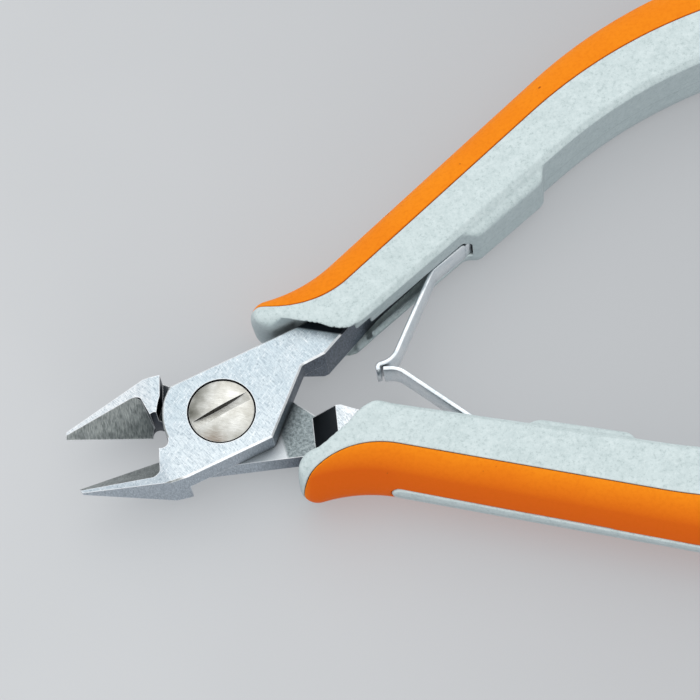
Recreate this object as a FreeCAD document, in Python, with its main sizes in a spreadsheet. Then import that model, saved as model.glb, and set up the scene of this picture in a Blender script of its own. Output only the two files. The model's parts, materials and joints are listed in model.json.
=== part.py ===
import FreeCAD, Part
import math
import os
import Sketcher
from FreeCAD import Placement, Rotation, Vector

# Diagonal cutting pliers with interlocked leaf springs, in millimetres.
# Origin: where the pivot axis meets the flat underside of the joint. -X points to the jaw tips,
# +X to the handles, +Z to the screw head. Half a is the top layer of the joint, with the jaw on -Y
# and the handle on +Y. Half b is the bottom layer, mirrored. Every piece is drawn about the lap
# plane between the layers with the tool closed, its half's axis along X. It is then raised by one
# layer and turned about the pivot by the open angle.

SIDES = {"a": 1, "b": -1}

DIMENSIONS = {
    # opening and lap joint
    "open_angle": 9.94,
    "layer": 3.1,
    "lap_gap": 0.02,
    "band": 5.6,
    "slim_band": 5.15,
    "slim_start": 5.9,
    "disc_radius": 6.9,
    "shoulder_radius": 7.6,
    "shoulder_y": 2.96,
    "heel": 6.8,
    "waist": 3.9,
    "crotch_x": 10.7,
    "crotch_y": 0.9,
    "crotch_round": 0.8,
    "crotch_rise": 0.13,
    "seam_inset": 0.05,
    "edge_break": 0.2,
    # jaws
    "jaw_reach": 18.5,
    "jaw_bend": 8.8,
    "jaw_width": 5.35,
    "tip_width": 0.8,
    "tip_skew": 0.15,
    "tip_height": 0.5,
    "edge_gap": 0.02,
    "edge_root": 8.6,
    "edge_drop": 2.75,
    "bevel_angle": 52.4,
    "bevel_root": 0.675,
    "bevel_lean": 0.484,
    "bevel_rise_a": 6.57,
    "bevel_rise_b": 6.0,
    "bevel_tip_drop": 0.3,
    "bevel_round": 1.1,
    "bevel_depth": 8.0,
    "face_start_b": 8.0,
    "relief_radius": 0.85,
    "relief_x": 7.75,
    "relief_y": 0.2,
    "block_top": 2.75,
    # screw
    "recess_radius": 4.0,
    "recess_depth": 1.75,
    "head_radius": 3.8,
    "head_dome": 0.3,
    "head_rim": 0.1,
    "head_land": 0.02,
    "shank_radius": 2.5,
    "thread_radius": 2.15,
    "thread_break": 0.3,
    "running_gap": 0.05,
    "slot_width": 1.1,
    "slot_depth": 1.1,
    "slot_cutter": 9.0,
    "slot_turn": 14.5,
    # tangs
    "ramp_start": 10.2,
    "ramp_end": 13.1,
    "crotch_length": 3.0,
    "throat_x": 16.8,
    "throat_angle": 24.3,
    "tang_start_x": 21.8,
    "tang_start_y": 4.7,
    "tang_angle": 18.3,
    "tang_width": 3.4,
    "tang_end": 58.0,
    "tang_round": 1.53,
    # grips
    "grip_half": 5.2,
    "nose_x": 7.95,
    "front_y": 7.75,
    "front_angle": -36.8,
    "rim_x": 19.1,
    "rim_y": 2.1,
    "rim_angle": 16.5,
    "outer_x": 29.9,
    "outer_y": 15.5,
    "outer_angle": 18.5,
    "waist_dip": -10.0,
    "nose_top_x": 9.7,
    "nose_top_y": 11.4,
    "tail_x": 114.0,
    "tail_inner_y": 6.95,
    "tail_outer_y": 13.7,
    "tail_inner_angle": -9.0,
    "tail_outer_angle": -20.0,
    "tail_length": 117.0,
    "tail_end_angle": 75.0,
    "nose_round": 2.6,
    "dip_round": 17.3,
    "front_round": 1.8,
    "bow_round": 60.0,
    "tail_round": 3.0,
    "grip_fit": 0.05,
    # soft inlays
    "skin": 1.5,
    "core_margin": 0.3,
    "inlay_x": 8.1,
    "inlay_y": 11.0,
    "inlay_front_angle": -40.8,
    "inlay_side_x": 21.8,
    "inlay_side_y": 8.1,
    "inlay_side_angle": 18.2,
    "inlay_round": 10.8,
    "inlay_tail_x": 100.0,
    "inlay_tail_y": 13.4,
    "inlay_tail_angle": -14.5,
    "inlay_end_x": 103.0,
    "inlay_end_angle": 55.0,
    "inlay_end_round": 5.0,
    "window_start": 18.3,
    "window_end": 92.0,
    "window_half": 1.25,
    "window_round": 1.2,
    # spring slots and pockets
    "slot_start": 20.3,
    "slot_half": 2.0,
    "slot_floor": 2.3,
    "bump_start": 34.5,
    "bump_end": 46.6,
    "bump_proud": 1.15,
    "bump_half": 4.3,
    "bump_ramp": 1.5,
    "bump_root": 0.8,
    "bump_break": 1.0,
    "mouth_half_gap": 0.35,
    "pocket_half_gap": 0.65,
    "pocket_end": 36.0,
    # leaf springs
    "leaf_thick": 0.55,
    "leaf_half": 1.75,
    "foot_x": 35.6,
    "foot_y": 7.08,
    "foot_angle": 15.4,
    "bend_a": 6.0,
    "bend_b": 5.4,
    "bend_round": 1.5,
    "knee_round": 2.6,
    "knee_a_reach": 20.65,
    "hook_offset": 0.8,
    "hook_reach": 18.73,
    "hook_round": 0.42,
    "lip_offset": 0.1,
    "knee_b_reach": 20.95,
    "knee_b_offset": 0.3,
    "tip_reach": 19.3,
    "tip_offset": -0.12,
}

# How far the outlines of cuts run past the material
CLEAR = 2.0

doc = FreeCAD.newDocument("DiagonalPliers")


class Size:
    """A number together with its formula over the sheet, so that one value both draws and binds."""

    def __init__(self, value, text):
        self.value = float(value)
        self.text = text

    def join(self, other, sign, value):
        return Size(value, f"({self.text} {sign} {other.text})")

    def __add__(self, other):
        other = size(other)
        return self.join(other, "+", self.value + other.value)

    def __sub__(self, other):
        other = size(other)
        return self.join(other, "-", self.value - other.value)

    def __mul__(self, other):
        other = size(other)
        return self.join(other, "*", self.value * other.value)

    def __truediv__(self, other):
        other = size(other)
        return self.join(other, "/", self.value / other.value)

    def __radd__(self, other):
        return size(other) + self

    def __rsub__(self, other):
        return size(other) - self

    def __rmul__(self, other):
        return size(other) * self

    def __neg__(self):
        return size(0) - self


def size(number):
    return number if isinstance(number, Size) else Size(number, f"{number:.6f}")


def sine(angle):
    return Size(math.sin(math.radians(angle.value)), f"sin({angle.text})")


def cosine(angle):
    return Size(math.cos(math.radians(angle.value)), f"cos({angle.text})")


def root(number):
    return Size(math.sqrt(number.value), f"sqrt({number.text})")


def make_sheet():
    """The driving dimensions, one per row: a name, and a value whose alias is that name."""
    sheet = doc.addObject("Spreadsheet::Sheet", "Dims")
    for row, (alias, value) in enumerate(DIMENSIONS.items(), start=1):
        sheet.set(f"A{row}", alias)
        sheet.set(f"B{row}", str(value))
        sheet.setAlias(f"B{row}", alias)
    doc.recompute()
    return sheet


class Dimensions:
    """Attribute access to the sheet: dim.layer is the Size that is bound to Dims.layer."""

    def __init__(self, sheet):
        self.sheet = sheet

    def __getattr__(self, alias):
        return Size(getattr(self.sheet, alias), f"Dims.{alias}")


dim = Dimensions(make_sheet())


# Outlines: straight lines known by a point and a heading, and corners where they meet


class Corner:
    """A corner of an outline: sharp, or rounded, or the start of an arc about a centre."""

    def __init__(self, x, y, round_radius=None, centre=None, turn=0):
        self.x = size(x)
        self.y = size(y)
        self.round_radius = round_radius
        self.centre = centre
        self.turn = turn

    def mirrored(self, side):
        centre = None
        if self.centre:
            centre = (self.centre[0], size(self.centre[1]) * side)
        return Corner(self.x, self.y * side, self.round_radius, centre, self.turn * side)

    def point(self):
        return Vector(self.x.value, self.y.value, 0)


class Line:
    """An endless line through a point at a heading in degrees, counter-clockwise from +X."""

    def __init__(self, x, y, heading):
        self.x = size(x)
        self.y = size(y)
        self.heading = size(heading)

    def shifted(self, left):
        """The parallel line at a distance to the left of the heading."""
        x = self.x - left * sine(self.heading)
        y = self.y + left * cosine(self.heading)
        return Line(x, y, self.heading)

    def at(self, x):
        """The height of the line at x."""
        run = size(x) - self.x
        return self.y + run * sine(self.heading) / cosine(self.heading)

    def meet(self, other, round_radius=None):
        """The corner where this line crosses another."""
        reach_x = other.x - self.x
        reach_y = other.y - self.y
        across = reach_x * sine(other.heading) - reach_y * cosine(other.heading)
        along = across / sine(other.heading - self.heading)
        x = self.x + along * cosine(self.heading)
        y = self.y + along * sine(self.heading)
        return Corner(x, y, round_radius)


def origin_plane(body, role):
    for feature in body.Origin.OriginFeatures:
        if feature.Role == role:
            return feature
    raise RuntimeError(f"{body.Label} has no {role}")


def new_sketch(body, name, plane="XY_Plane", offset=None):
    sketch = body.newObject("Sketcher::SketchObject", name)
    sketch.AttachmentSupport = [(origin_plane(body, plane), "")]
    sketch.MapMode = "FlatFace"
    if isinstance(offset, Placement):
        sketch.AttachmentOffset = offset
    elif offset is not None:
        sketch.AttachmentOffset = Placement(Vector(0, 0, offset.value), Rotation())
        sketch.setExpression("AttachmentOffset.Base.z", offset.text)
    return sketch


def bind(sketch, amount, kind, *target):
    """A dimensional constraint whose value follows the sheet."""
    index = sketch.addConstraint(Sketcher.Constraint(kind, *target, amount.value))
    sketch.setExpression(f"Constraints[{index}]", amount.text)


def pin(sketch, geometry, position, corner):
    bind(sketch, corner.x, "DistanceX", -1, 1, geometry, position)
    bind(sketch, corner.y, "DistanceY", -1, 1, geometry, position)


def unit(vector):
    return Vector(vector).normalize()


def angle_about(centre, point):
    return math.atan2(point.y - centre.y, point.x - centre.x)


def add_arc(sketch, centre, radius, start, end, turn):
    """An arc from start to end. Returns its index and the positions of its start and its end."""
    first, last = (start, end) if turn > 0 else (end, start)
    begin = angle_about(centre, first)
    finish = angle_about(centre, last)
    if finish <= begin:
        finish += 2 * math.pi
    circle = Part.Circle(centre, Vector(0, 0, 1), radius)
    index = sketch.addGeometry(Part.ArcOfCircle(circle, begin, finish))
    return (index, 1, 2) if turn > 0 else (index, 2, 1)


def rounding(before, corner, after):
    """The centre, the two tangent points and the turn of the arc that rounds a corner."""
    here = corner.point()
    back = unit(before.point() - here)
    ahead = unit(after.point() - here)
    half = back.getAngle(ahead) / 2
    radius = corner.round_radius.value
    reach = radius / math.tan(half)
    centre = here + unit(back + ahead) * (radius / math.sin(half))
    turn = 1 if (ahead.cross(back)).z > 0 else -1
    return centre, here + back * reach, here + ahead * reach, turn


def draw(sketch, corners, closed=True):
    """A fully bound outline through the corners, or an open path that ends at the last one."""
    count = len(corners)
    arcs = {}
    for i, corner in enumerate(corners):
        if corner.round_radius:
            arcs[i] = rounding(corners[i - 1], corner, corners[(i + 1) % count])
    pieces = []
    for i, corner in enumerate(corners):
        after = (i + 1) % count
        if i in arcs:
            centre, start, end, turn = arcs[i]
            index, first, last = add_arc(sketch, centre, corner.round_radius.value, start, end, turn)
            bind(sketch, corner.round_radius, "Radius", index)
            pieces.append((index, first, last, "round", i))
        if not closed and i == count - 1:
            break
        start = arcs[i][2] if i in arcs else corner.point()
        end = arcs[after][1] if after in arcs else corners[after].point()
        if corner.centre:
            centre = Vector(size(corner.centre[0]).value, size(corner.centre[1]).value, 0)
            radius = (start - centre).Length
            index, first, last = add_arc(sketch, centre, radius, start, end, corner.turn)
            sketch.addConstraint(Sketcher.Constraint("Radius", index, radius))
            pieces.append((index, first, last, "arc", i))
        else:
            index = sketch.addGeometry(Part.LineSegment(start, end))
            pieces.append((index, 1, 2, "line", i))
    followers = pieces[1:] + (pieces[:1] if closed else [])
    for piece, following in zip(pieces, followers):
        smooth = "round" in (piece[3], following[3])
        kind = "Tangent" if smooth else "Coincident"
        sketch.addConstraint(Sketcher.Constraint(kind, piece[0], piece[2], following[0], following[1]))
    sides = {piece[4]: piece for piece in pieces if piece[3] != "round"}
    for i, corner in enumerate(corners):
        if i in arcs:
            mark = sketch.addGeometry(Part.Point(corner.point()), True)
            pin(sketch, mark, 1, corner)
            for neighbour in (sides[(i - 1) % count], sides[i]):
                sketch.addConstraint(Sketcher.Constraint("PointOnObject", mark, 1, neighbour[0]))
        elif i in sides:
            pin(sketch, sides[i][0], sides[i][1], corner)
        else:
            pin(sketch, sides[i - 1][0], sides[i - 1][2], corner)
    return sketch


def draw_circle(sketch, x, y, radius):
    centre = Corner(x, y)
    index = sketch.addGeometry(Part.Circle(centre.point(), Vector(0, 0, 1), radius.value))
    pin(sketch, index, 3, centre)
    bind(sketch, radius, "Radius", index)
    return sketch


# Features


def new_body(name):
    body = doc.addObject("PartDesign::Body", name)
    body.Label = name
    return body


def volume(body):
    doc.recompute()
    return body.Shape.Volume


def extrude(body, kind, sketch, length=None, reverse=False):
    """A pad or a pocket of a sketch. With no length it goes right through, both ways."""
    before = volume(body) if body.Tip else 0.0
    feature = body.newObject(f"PartDesign::{kind}", sketch.Name + kind)
    feature.Profile = sketch
    if length is None:
        feature.SideType = "Symmetric"
        feature.Type = "ThroughAll"
    else:
        feature.Length = length.value
        feature.setExpression("Length", length.text)
    feature.Reversed = reverse
    change = volume(body) - before
    if (change <= 0) if kind == "Pad" else (change >= 0):
        raise RuntimeError(f"{feature.Name} changed the volume by {change:.4f}")
    return feature


def pad(body, sketch, length):
    return extrude(body, "Pad", sketch, length)


def pocket(body, sketch, length=None, reverse=False):
    return extrude(body, "Pocket", sketch, length, reverse)


def dress(body, kind, amount, wanted):
    """Chamfer or fillet the edges of the body's tip that a test wants."""
    tip = body.Tip
    before = volume(body)
    names = [f"Edge{i}" for i, edge in enumerate(tip.Shape.Edges, start=1) if wanted(edge)]
    feature = body.newObject(f"PartDesign::{kind}", tip.Name + kind)
    feature.Base = (tip, names)
    prop = "Size" if kind == "Chamfer" else "Radius"
    setattr(feature, prop, amount.value)
    feature.setExpression(prop, amount.text)
    if not names or volume(body) >= before:
        raise RuntimeError(f"{feature.Name} changed nothing on {len(names)} edges")
    return feature


def at_height(edge, height, slack=1e-4):
    return all(abs(vertex.Z - height) < slack for vertex in edge.Vertexes)


def place(item, turn):
    """Raise a finished piece onto the underside plane and turn it about the pivot."""
    lift = Vector(0, 0, dim.layer.value)
    item.Placement = Placement(lift, Rotation(Vector(0, 0, 1), turn.value))
    item.setExpression("Placement.Base.z", dim.layer.text)
    item.setExpression("Placement.Rotation.Angle", turn.text)


def mirrored(corners, side):
    return [corner.mirrored(side) for corner in corners]


# Cutter halves


def tang_lines(clearance=0):
    """The throat, the inner line and the outer line of a tang, moved out from it by a clearance."""
    start = Corner(dim.tang_start_x, dim.tang_start_y)
    throat = Line(start.x, start.y, dim.throat_angle).shifted(size(-clearance))
    inner = Line(start.x, start.y, dim.tang_angle).shifted(size(-clearance))
    outer = Line(start.x, start.y, dim.tang_angle).shifted(dim.tang_width + clearance)
    return throat, inner, outer


def tang_corners(clearance=0):
    """The tang from its root on the inner side, round its end, to the band on the outer side."""
    throat, inner, outer = tang_lines(clearance)
    end = Line(dim.tang_end + clearance, outer.at(dim.tang_end), dim.tang_angle + 90)
    band = Line(0, dim.band + clearance, 0)
    return [
        throat.meet(inner),
        inner.meet(end, dim.tang_round),
        end.meet(outer, dim.tang_round),
        outer.meet(band),
    ]


def throat_corners():
    """The inner side of the tang between the crotch and the throat line."""
    throat = tang_lines()[0]
    return [
        Corner(dim.crotch_x + dim.crotch_length, dim.crotch_y + dim.crotch_rise),
        Corner(dim.throat_x, throat.at(dim.throat_x)),
    ]


def joint_outline(side):
    """The layer of one half seen from above: disc, band, jaw and tang."""
    start = root(dim.disc_radius * dim.disc_radius - dim.band * dim.band)
    if side > 0:
        flank = [Corner(dim.waist, -dim.band)]
    else:
        flank = [Corner(-dim.slim_start, -dim.slim_band), Corner(dim.waist, -dim.slim_band)]
    return [
        Corner(-start, dim.band, centre=(0, 0), turn=1),
        Corner(-dim.disc_radius, -dim.edge_gap),
        Corner(-dim.jaw_reach, -dim.edge_gap),
        Corner(-dim.jaw_reach + dim.tip_skew, -dim.tip_width),
        Corner(-dim.jaw_bend, -dim.jaw_width),
        Corner(-dim.heel, -dim.band),
    ] + flank + [
        Corner(dim.crotch_x, dim.crotch_y, dim.crotch_round),
    ] + throat_corners() + tang_corners()


def jaw_block_outline():
    """The jaw where it is thick through both layers, ending in a shoulder beside the other disc."""
    shoulder_x = root(dim.shoulder_radius * dim.shoulder_radius - dim.shoulder_y * dim.shoulder_y)
    return [
        Corner(-dim.jaw_reach, -dim.edge_gap),
        Corner(-dim.jaw_reach + dim.tip_skew, -dim.tip_width),
        Corner(-dim.jaw_bend, -dim.jaw_width),
        Corner(-dim.heel, -dim.band),
        Corner(-shoulder_x, -dim.shoulder_y, centre=(0, 0), turn=-1),
        Corner(-dim.shoulder_radius, -dim.edge_gap),
    ]


def tang_block_outline():
    """The tang where it is thick through both layers."""
    start = dim.ramp_start
    return [
        Corner(start, dim.band),
        Corner(start, dim.crotch_y + dim.seam_inset),
    ] + throat_corners() + tang_corners()


def wedge(body, name, corners):
    """A cut right across the body of an outline in the XZ plane."""
    pocket(body, draw(new_sketch(body, name, "XZ_Plane"), corners))


def grind_jaw(body, side, face_start, face_top, bevel_rise):
    """Slope the top and the underside of the jaw and grind its bevel down to the cutting edge."""
    tip = -dim.jaw_reach
    face_fall = (face_top - dim.tip_height) / (face_start - tip)
    wedge(body, "face_slope", [
        Corner(tip - CLEAR, dim.tip_height - face_fall * CLEAR),
        Corner(face_start, face_top),
        Corner(face_start, dim.layer + CLEAR),
        Corner(tip - CLEAR, dim.layer + CLEAR),
    ])
    edge_run = dim.jaw_reach - dim.edge_root
    slope = dim.edge_drop / edge_run
    wedge(body, "underside_slope", [
        Corner(tip - CLEAR, slope * CLEAR),
        Corner(-dim.edge_root + CLEAR, -dim.edge_drop - slope * CLEAR),
        Corner(-dim.edge_root + CLEAR, -dim.layer - CLEAR),
        Corner(tip - CLEAR, -dim.layer - CLEAR),
    ])
    fall = math.degrees(math.atan(slope.value))
    roll = -180 + dim.bevel_angle.value if side > 0 else -dim.bevel_angle.value
    turn = Rotation(Vector(0, 1, 0), 180 + fall).multiply(Rotation(Vector(1, 0, 0), roll))
    origin = Vector(-dim.edge_root.value, 0, -dim.edge_drop.value)
    sketch = new_sketch(body, "bevel", offset=Placement(origin, turn))
    draw(sketch, [
        Corner(-dim.bevel_root - dim.bevel_lean * CLEAR, -CLEAR),
        Corner(-dim.bevel_root + dim.bevel_lean * bevel_rise, bevel_rise, dim.bevel_round),
        Corner(edge_run + CLEAR, -dim.bevel_tip_drop),
        Corner(edge_run + CLEAR, -CLEAR),
    ])
    ground = pocket(body, sketch, dim.bevel_depth)
    ground.UseCustomVector = True
    ground.Direction = Vector(0, 0, 1)
    volume(body)


def lower_block(body):
    """Take the jaw block of half b down to its own height, a little below the other half's face."""
    wedge(body, "block_height", [
        Corner(-dim.jaw_reach - CLEAR, dim.block_top),
        Corner(-dim.heel + CLEAR, dim.block_top),
        Corner(-dim.heel + CLEAR, dim.layer + CLEAR),
        Corner(-dim.jaw_reach - CLEAR, dim.layer + CLEAR),
    ])


def cutter_half(name, side):
    """One forged half. Side 1 is the top layer of the joint, side -1 the bottom layer."""
    body = new_body(name)
    own_layer = dim.layer - dim.lap_gap / 2
    lap = dim.lap_gap / 2 if side > 0 else -dim.layer
    face = dim.layer if side > 0 else -dim.layer
    other = -dim.layer if side > 0 else -dim.lap_gap / 2
    joint = new_sketch(body, "joint", offset=lap)
    pad(body, draw(joint, mirrored(joint_outline(side), side)), own_layer)
    dress(body, "Chamfer", dim.edge_break, lambda edge: at_height(edge, face.value))
    other_layer = dim.layer + dim.lap_gap / 2
    for block, outline in (("jaw", jaw_block_outline()), ("tang", tang_block_outline())):
        sketch = new_sketch(body, f"{block}_block", offset=other)
        pad(body, draw(sketch, mirrored(outline, side)), other_layer)
    wedge(body, "ramp", [
        Corner(dim.ramp_start - CLEAR, 0),
        Corner(dim.ramp_start, 0),
        Corner(dim.ramp_end, -dim.layer * side),
        Corner(dim.ramp_end, -(dim.layer + CLEAR) * side),
        Corner(dim.ramp_start - CLEAR, -(dim.layer + CLEAR) * side),
    ])
    if side > 0:
        grind_jaw(body, side, -dim.jaw_bend, dim.layer, dim.bevel_rise_a)
    else:
        lower_block(body)
        grind_jaw(body, side, -dim.face_start_b, dim.block_top, dim.bevel_rise_b)
    relief = new_sketch(body, "relief")
    pocket(body, draw_circle(relief, -dim.relief_x, -dim.relief_y * side, dim.relief_radius))
    if side > 0:
        bore = new_sketch(body, "bore")
        pocket(body, draw_circle(bore, 0, 0, dim.shank_radius + dim.running_gap))
        recess = new_sketch(body, "recess", offset=dim.layer)
        pocket(body, draw_circle(recess, 0, 0, dim.recess_radius), dim.recess_depth)
    else:
        bore = new_sketch(body, "bore")
        pocket(body, draw_circle(bore, 0, 0, dim.thread_radius + dim.running_gap))
    place(body, dim.open_angle * side)
    return body


# Screw


def pivot_screw():
    """Slotted screw: domed head in the recess of half a, shank through it, thread in half b."""
    body = new_body("pivot_screw")
    seat = dim.layer - dim.recess_depth + dim.head_land
    rim = dim.layer - dim.head_rim
    dome_radius = (dim.head_radius * dim.head_radius) / (2 * (dim.head_dome + dim.head_rim))
    shank_end = dim.head_land
    sketch = new_sketch(body, "profile", "XZ_Plane")
    draw(sketch, [
        Corner(0, -dim.layer),
        Corner(dim.thread_radius - dim.thread_break, -dim.layer),
        Corner(dim.thread_radius, -dim.layer + dim.thread_break),
        Corner(dim.thread_radius, shank_end),
        Corner(dim.shank_radius, shank_end),
        Corner(dim.shank_radius, seat),
        Corner(dim.head_radius, seat),
        Corner(dim.head_radius, rim, centre=(0, dim.layer + dim.head_dome - dome_radius), turn=1),
        Corner(0, dim.layer + dim.head_dome),
    ])
    turned = body.newObject("PartDesign::Revolution", "turned")
    turned.Profile = sketch
    turned.ReferenceAxis = (sketch, ["V_Axis"])
    turned.Angle = 360
    doc.recompute()
    blade = new_sketch(body, "blade", "XZ_Plane", offset=-dim.slot_width / 2)
    floor = dim.layer + dim.head_dome - dim.slot_depth
    reach = dim.recess_radius
    rise = dim.slot_cutter - root(dim.slot_cutter * dim.slot_cutter - reach * reach)
    draw(blade, [
        Corner(-reach, floor + rise, centre=(0, floor + dim.slot_cutter), turn=1),
        Corner(reach, floor + rise),
        Corner(reach, dim.layer + CLEAR),
        Corner(-reach, dim.layer + CLEAR),
    ])
    pocket(body, blade, dim.slot_width, reverse=True)
    place(body, dim.slot_turn)
    return body


# Grips and inlays


def grip_lines(inner=0, front=0, outer=0):
    """The outline's lines in order, each moved into the grip by its inset."""
    return {
        "nose": Line(dim.nose_x, dim.front_y, -90).shifted(size(outer)),
        "front": Line(dim.nose_x, dim.front_y, dim.front_angle).shifted(size(front)),
        "rim": Line(dim.rim_x, dim.rim_y, dim.rim_angle).shifted(size(inner)),
        "tail_inner": Line(dim.tail_x, dim.tail_inner_y, dim.tail_inner_angle).shifted(size(inner)),
        "end": Line(dim.tail_length, dim.tail_inner_y, dim.tail_end_angle).shifted(size(outer)),
        "tail_outer": Line(dim.tail_x, dim.tail_outer_y, dim.tail_outer_angle).shifted(-size(outer)),
        "outer": Line(dim.outer_x, dim.outer_y, dim.outer_angle).shifted(-size(outer)),
        "dip": Line(dim.nose_top_x, dim.nose_top_y, dim.waist_dip).shifted(-size(outer)),
    }


def outer_chain(lines, inset):
    """The outer side of the outline, from the end of the handle to the nose."""
    return [
        lines["tail_inner"].meet(lines["end"], dim.tail_round - inset),
        lines["end"].meet(lines["tail_outer"], dim.tail_round - inset),
        lines["tail_outer"].meet(lines["outer"], dim.bow_round - inset),
        lines["outer"].meet(lines["dip"], dim.dip_round + inset),
        lines["dip"].meet(lines["nose"], dim.nose_round - inset),
    ]


def grip_outline(inner, front, outer):
    lines = grip_lines(inner, front, outer)
    return [
        lines["nose"].meet(lines["front"]),
        lines["front"].meet(lines["rim"], dim.front_round),
        lines["rim"].meet(lines["tail_inner"], dim.bow_round),
    ] + outer_chain(lines, size(outer))


# How the grip's outline draws in towards its top and bottom faces:
# height as a share of the half thickness, then the insets of the inner, front and outer sides
CROWN = ((-1, 1.3, 1.2, 1.9), (-0.85, 0.7, 0.6, 0.9), (-0.5, 0.1, 0.2, 0.2), (0, 0, 0, 0),
         (0.5, 0, 0.2, 0.2), (0.85, 0, 0.6, 0.9), (1, 0.7, 1.2, 1.9))


def slot_outline():
    """The long slot along the inner side that the leaf spring folds into."""
    rim = Line(dim.rim_x, dim.rim_y, dim.rim_angle)
    floor = rim.shifted(dim.slot_floor)
    return [
        Corner(dim.slot_start, rim.at(dim.slot_start) - CLEAR),
        Corner(dim.bump_start, rim.at(dim.bump_start) - CLEAR),
        Corner(dim.bump_start, floor.at(dim.bump_start)),
        Corner(dim.slot_start, floor.at(dim.slot_start)),
    ]


def foot_line():
    """The straight run of a leaf from its foot towards its first bend."""
    return Line(dim.foot_x, dim.foot_y, dim.foot_angle)


def pocket_outline():
    """The pocket inside the bump that holds the foot of the leaf spring, wider at its bottom."""
    foot = foot_line()
    start = dim.bump_start - CLEAR / 2
    end = dim.pocket_end
    return [
        Corner(start, foot.at(start) - dim.mouth_half_gap),
        Corner(dim.bump_start, foot.at(dim.bump_start) - dim.mouth_half_gap),
        Corner(end, foot.at(end) - dim.pocket_half_gap),
        Corner(end, foot.at(end) + dim.pocket_half_gap),
        Corner(dim.bump_start, foot.at(dim.bump_start) + dim.mouth_half_gap),
        Corner(start, foot.at(start) + dim.mouth_half_gap),
    ]


def bump_outline():
    """The raised pocket housing on the inner side of the grip."""
    rim = Line(dim.rim_x, dim.rim_y, dim.rim_angle)
    crest = rim.shifted(-dim.bump_proud)
    rise = dim.bump_start + dim.bump_ramp
    fall = dim.bump_end - dim.bump_ramp / 2
    return [
        Corner(dim.bump_start, rim.at(dim.bump_start)),
        Corner(rise, crest.at(rise)),
        Corner(fall, crest.at(fall)),
        Corner(dim.bump_end, rim.at(dim.bump_end)),
        Corner(dim.bump_end, rim.at(dim.bump_end) + dim.bump_root),
        Corner(dim.bump_start, rim.at(dim.bump_start) + dim.bump_root),
    ]


def channel_outline():
    """The space for the tang, open to the front and to the inner side near the joint."""
    fit = dim.grip_fit
    throat = tang_lines(fit)[0]
    return [
        Corner(dim.slot_start, throat.at(dim.slot_start)),
    ] + tang_corners(fit) + [
        Corner(dim.nose_x - CLEAR, dim.band + fit),
        Corner(dim.nose_x - CLEAR, 0),
        Corner(dim.slot_start, 0),
    ]


def grip_blank(name, side):
    """The whole moulding, before the soft inlay's share of it is taken away."""
    body = new_body(name)
    sections = []
    for index, (share, inner, front, outer) in enumerate(CROWN):
        sketch = new_sketch(body, f"level_{index}", offset=dim.grip_half * share)
        sections.append(draw(sketch, mirrored(grip_outline(inner, front, outer), side)))
    shell = body.newObject("PartDesign::AdditiveLoft", "shell")
    shell.Profile = sections[0]
    shell.Sections = sections[1:]
    shell.Ruled = True
    doc.recompute()
    bump = new_sketch(body, "bump", offset=-dim.bump_half)
    pad(body, draw(bump, mirrored(bump_outline(), side)), dim.bump_half * 2)
    rise, fall = bump_outline()[1:3]
    crest = (fall.point() - rise.point()).Length
    heights = (dim.bump_half.value, -dim.bump_half.value)

    def shoulder(edge):
        on_crest = abs(edge.Length - crest) < 0.01
        return on_crest and any(at_height(edge, height) for height in heights)

    dress(body, "Chamfer", dim.bump_break, shoulder)
    for title, outline, half in (
        ("channel", channel_outline(), dim.layer + dim.grip_fit),
        ("spring_slot", slot_outline(), dim.slot_half),
        ("foot_pocket", pocket_outline(), dim.slot_half),
    ):
        sketch = new_sketch(body, title, offset=half)
        pocket(body, draw(sketch, mirrored(outline, side)), half * 2)
    return body


def inlay_region(name, side):
    """The space that the soft inlay takes: outer side and both faces, round a core, with a window."""
    body = new_body(name)
    deep = dim.grip_half + CLEAR
    start = dim.nose_x - CLEAR
    front = Line(dim.inlay_x, dim.inlay_y, dim.inlay_front_angle)
    along = Line(dim.inlay_side_x, dim.inlay_side_y, dim.inlay_side_angle)
    tail = Line(dim.inlay_tail_x, dim.inlay_tail_y, dim.inlay_tail_angle)
    end = Line(dim.inlay_end_x, dim.inlay_tail_y, dim.inlay_end_angle)
    beyond = dim.tail_length / 3
    boundary = [
        Corner(start, front.at(start)),
        front.meet(along, dim.inlay_round),
        along.meet(tail, dim.bow_round),
        tail.meet(end, dim.inlay_end_round),
        end.meet(Line(0, beyond, 0)),
        Corner(start, beyond),
    ]
    outline = new_sketch(body, "region", offset=-deep)
    pad(body, draw(outline, mirrored(boundary, side)), deep * 2)
    lines = grip_lines(outer=dim.skin)
    core_half = dim.grip_half - dim.skin + dim.core_margin
    chain = outer_chain(lines, dim.skin)[1:]
    core = chain + [
        Corner(dim.nose_x + dim.skin, 0),
        Corner(lines["end"].meet(Line(0, 0, 0)).x, 0),
    ]
    hollow = new_sketch(body, "core", offset=core_half)
    pocket(body, draw(hollow, mirrored(core, side)), core_half * 2)
    half = dim.window_half
    window = new_sketch(body, "window", "XZ_Plane")
    draw(window, [
        Corner(dim.window_start, -half, dim.window_round),
        Corner(dim.window_end, -half, dim.window_round),
        Corner(dim.window_end, half, dim.window_round),
        Corner(dim.window_start, half, dim.window_round),
    ])
    pocket(body, window)
    return body


def handle(letter, side):
    """Split a grip blank into the hard grip and its soft inlay."""
    blank = grip_blank(f"blank_{letter}", side)
    region = inlay_region(f"region_{letter}", side)
    grip = doc.addObject("Part::Cut", f"grip_{letter}")
    inlay = doc.addObject("Part::Common", f"soft_inlay_{letter}")
    for item in (grip, inlay):
        item.Label = item.Name
        item.Base = blank
        item.Tool = region
        place(item, dim.open_angle * side)
    return grip, inlay


# Leaf springs


def open_point(x, y, round_radius=None):
    """A corner given in the open tool's frame, y towards the half's own side, seen from the half."""
    x = size(x)
    y = size(y)
    turn = dim.open_angle
    return Corner(x * cosine(turn) + y * sine(turn), y * cosine(turn) - x * sine(turn), round_radius)


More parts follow.
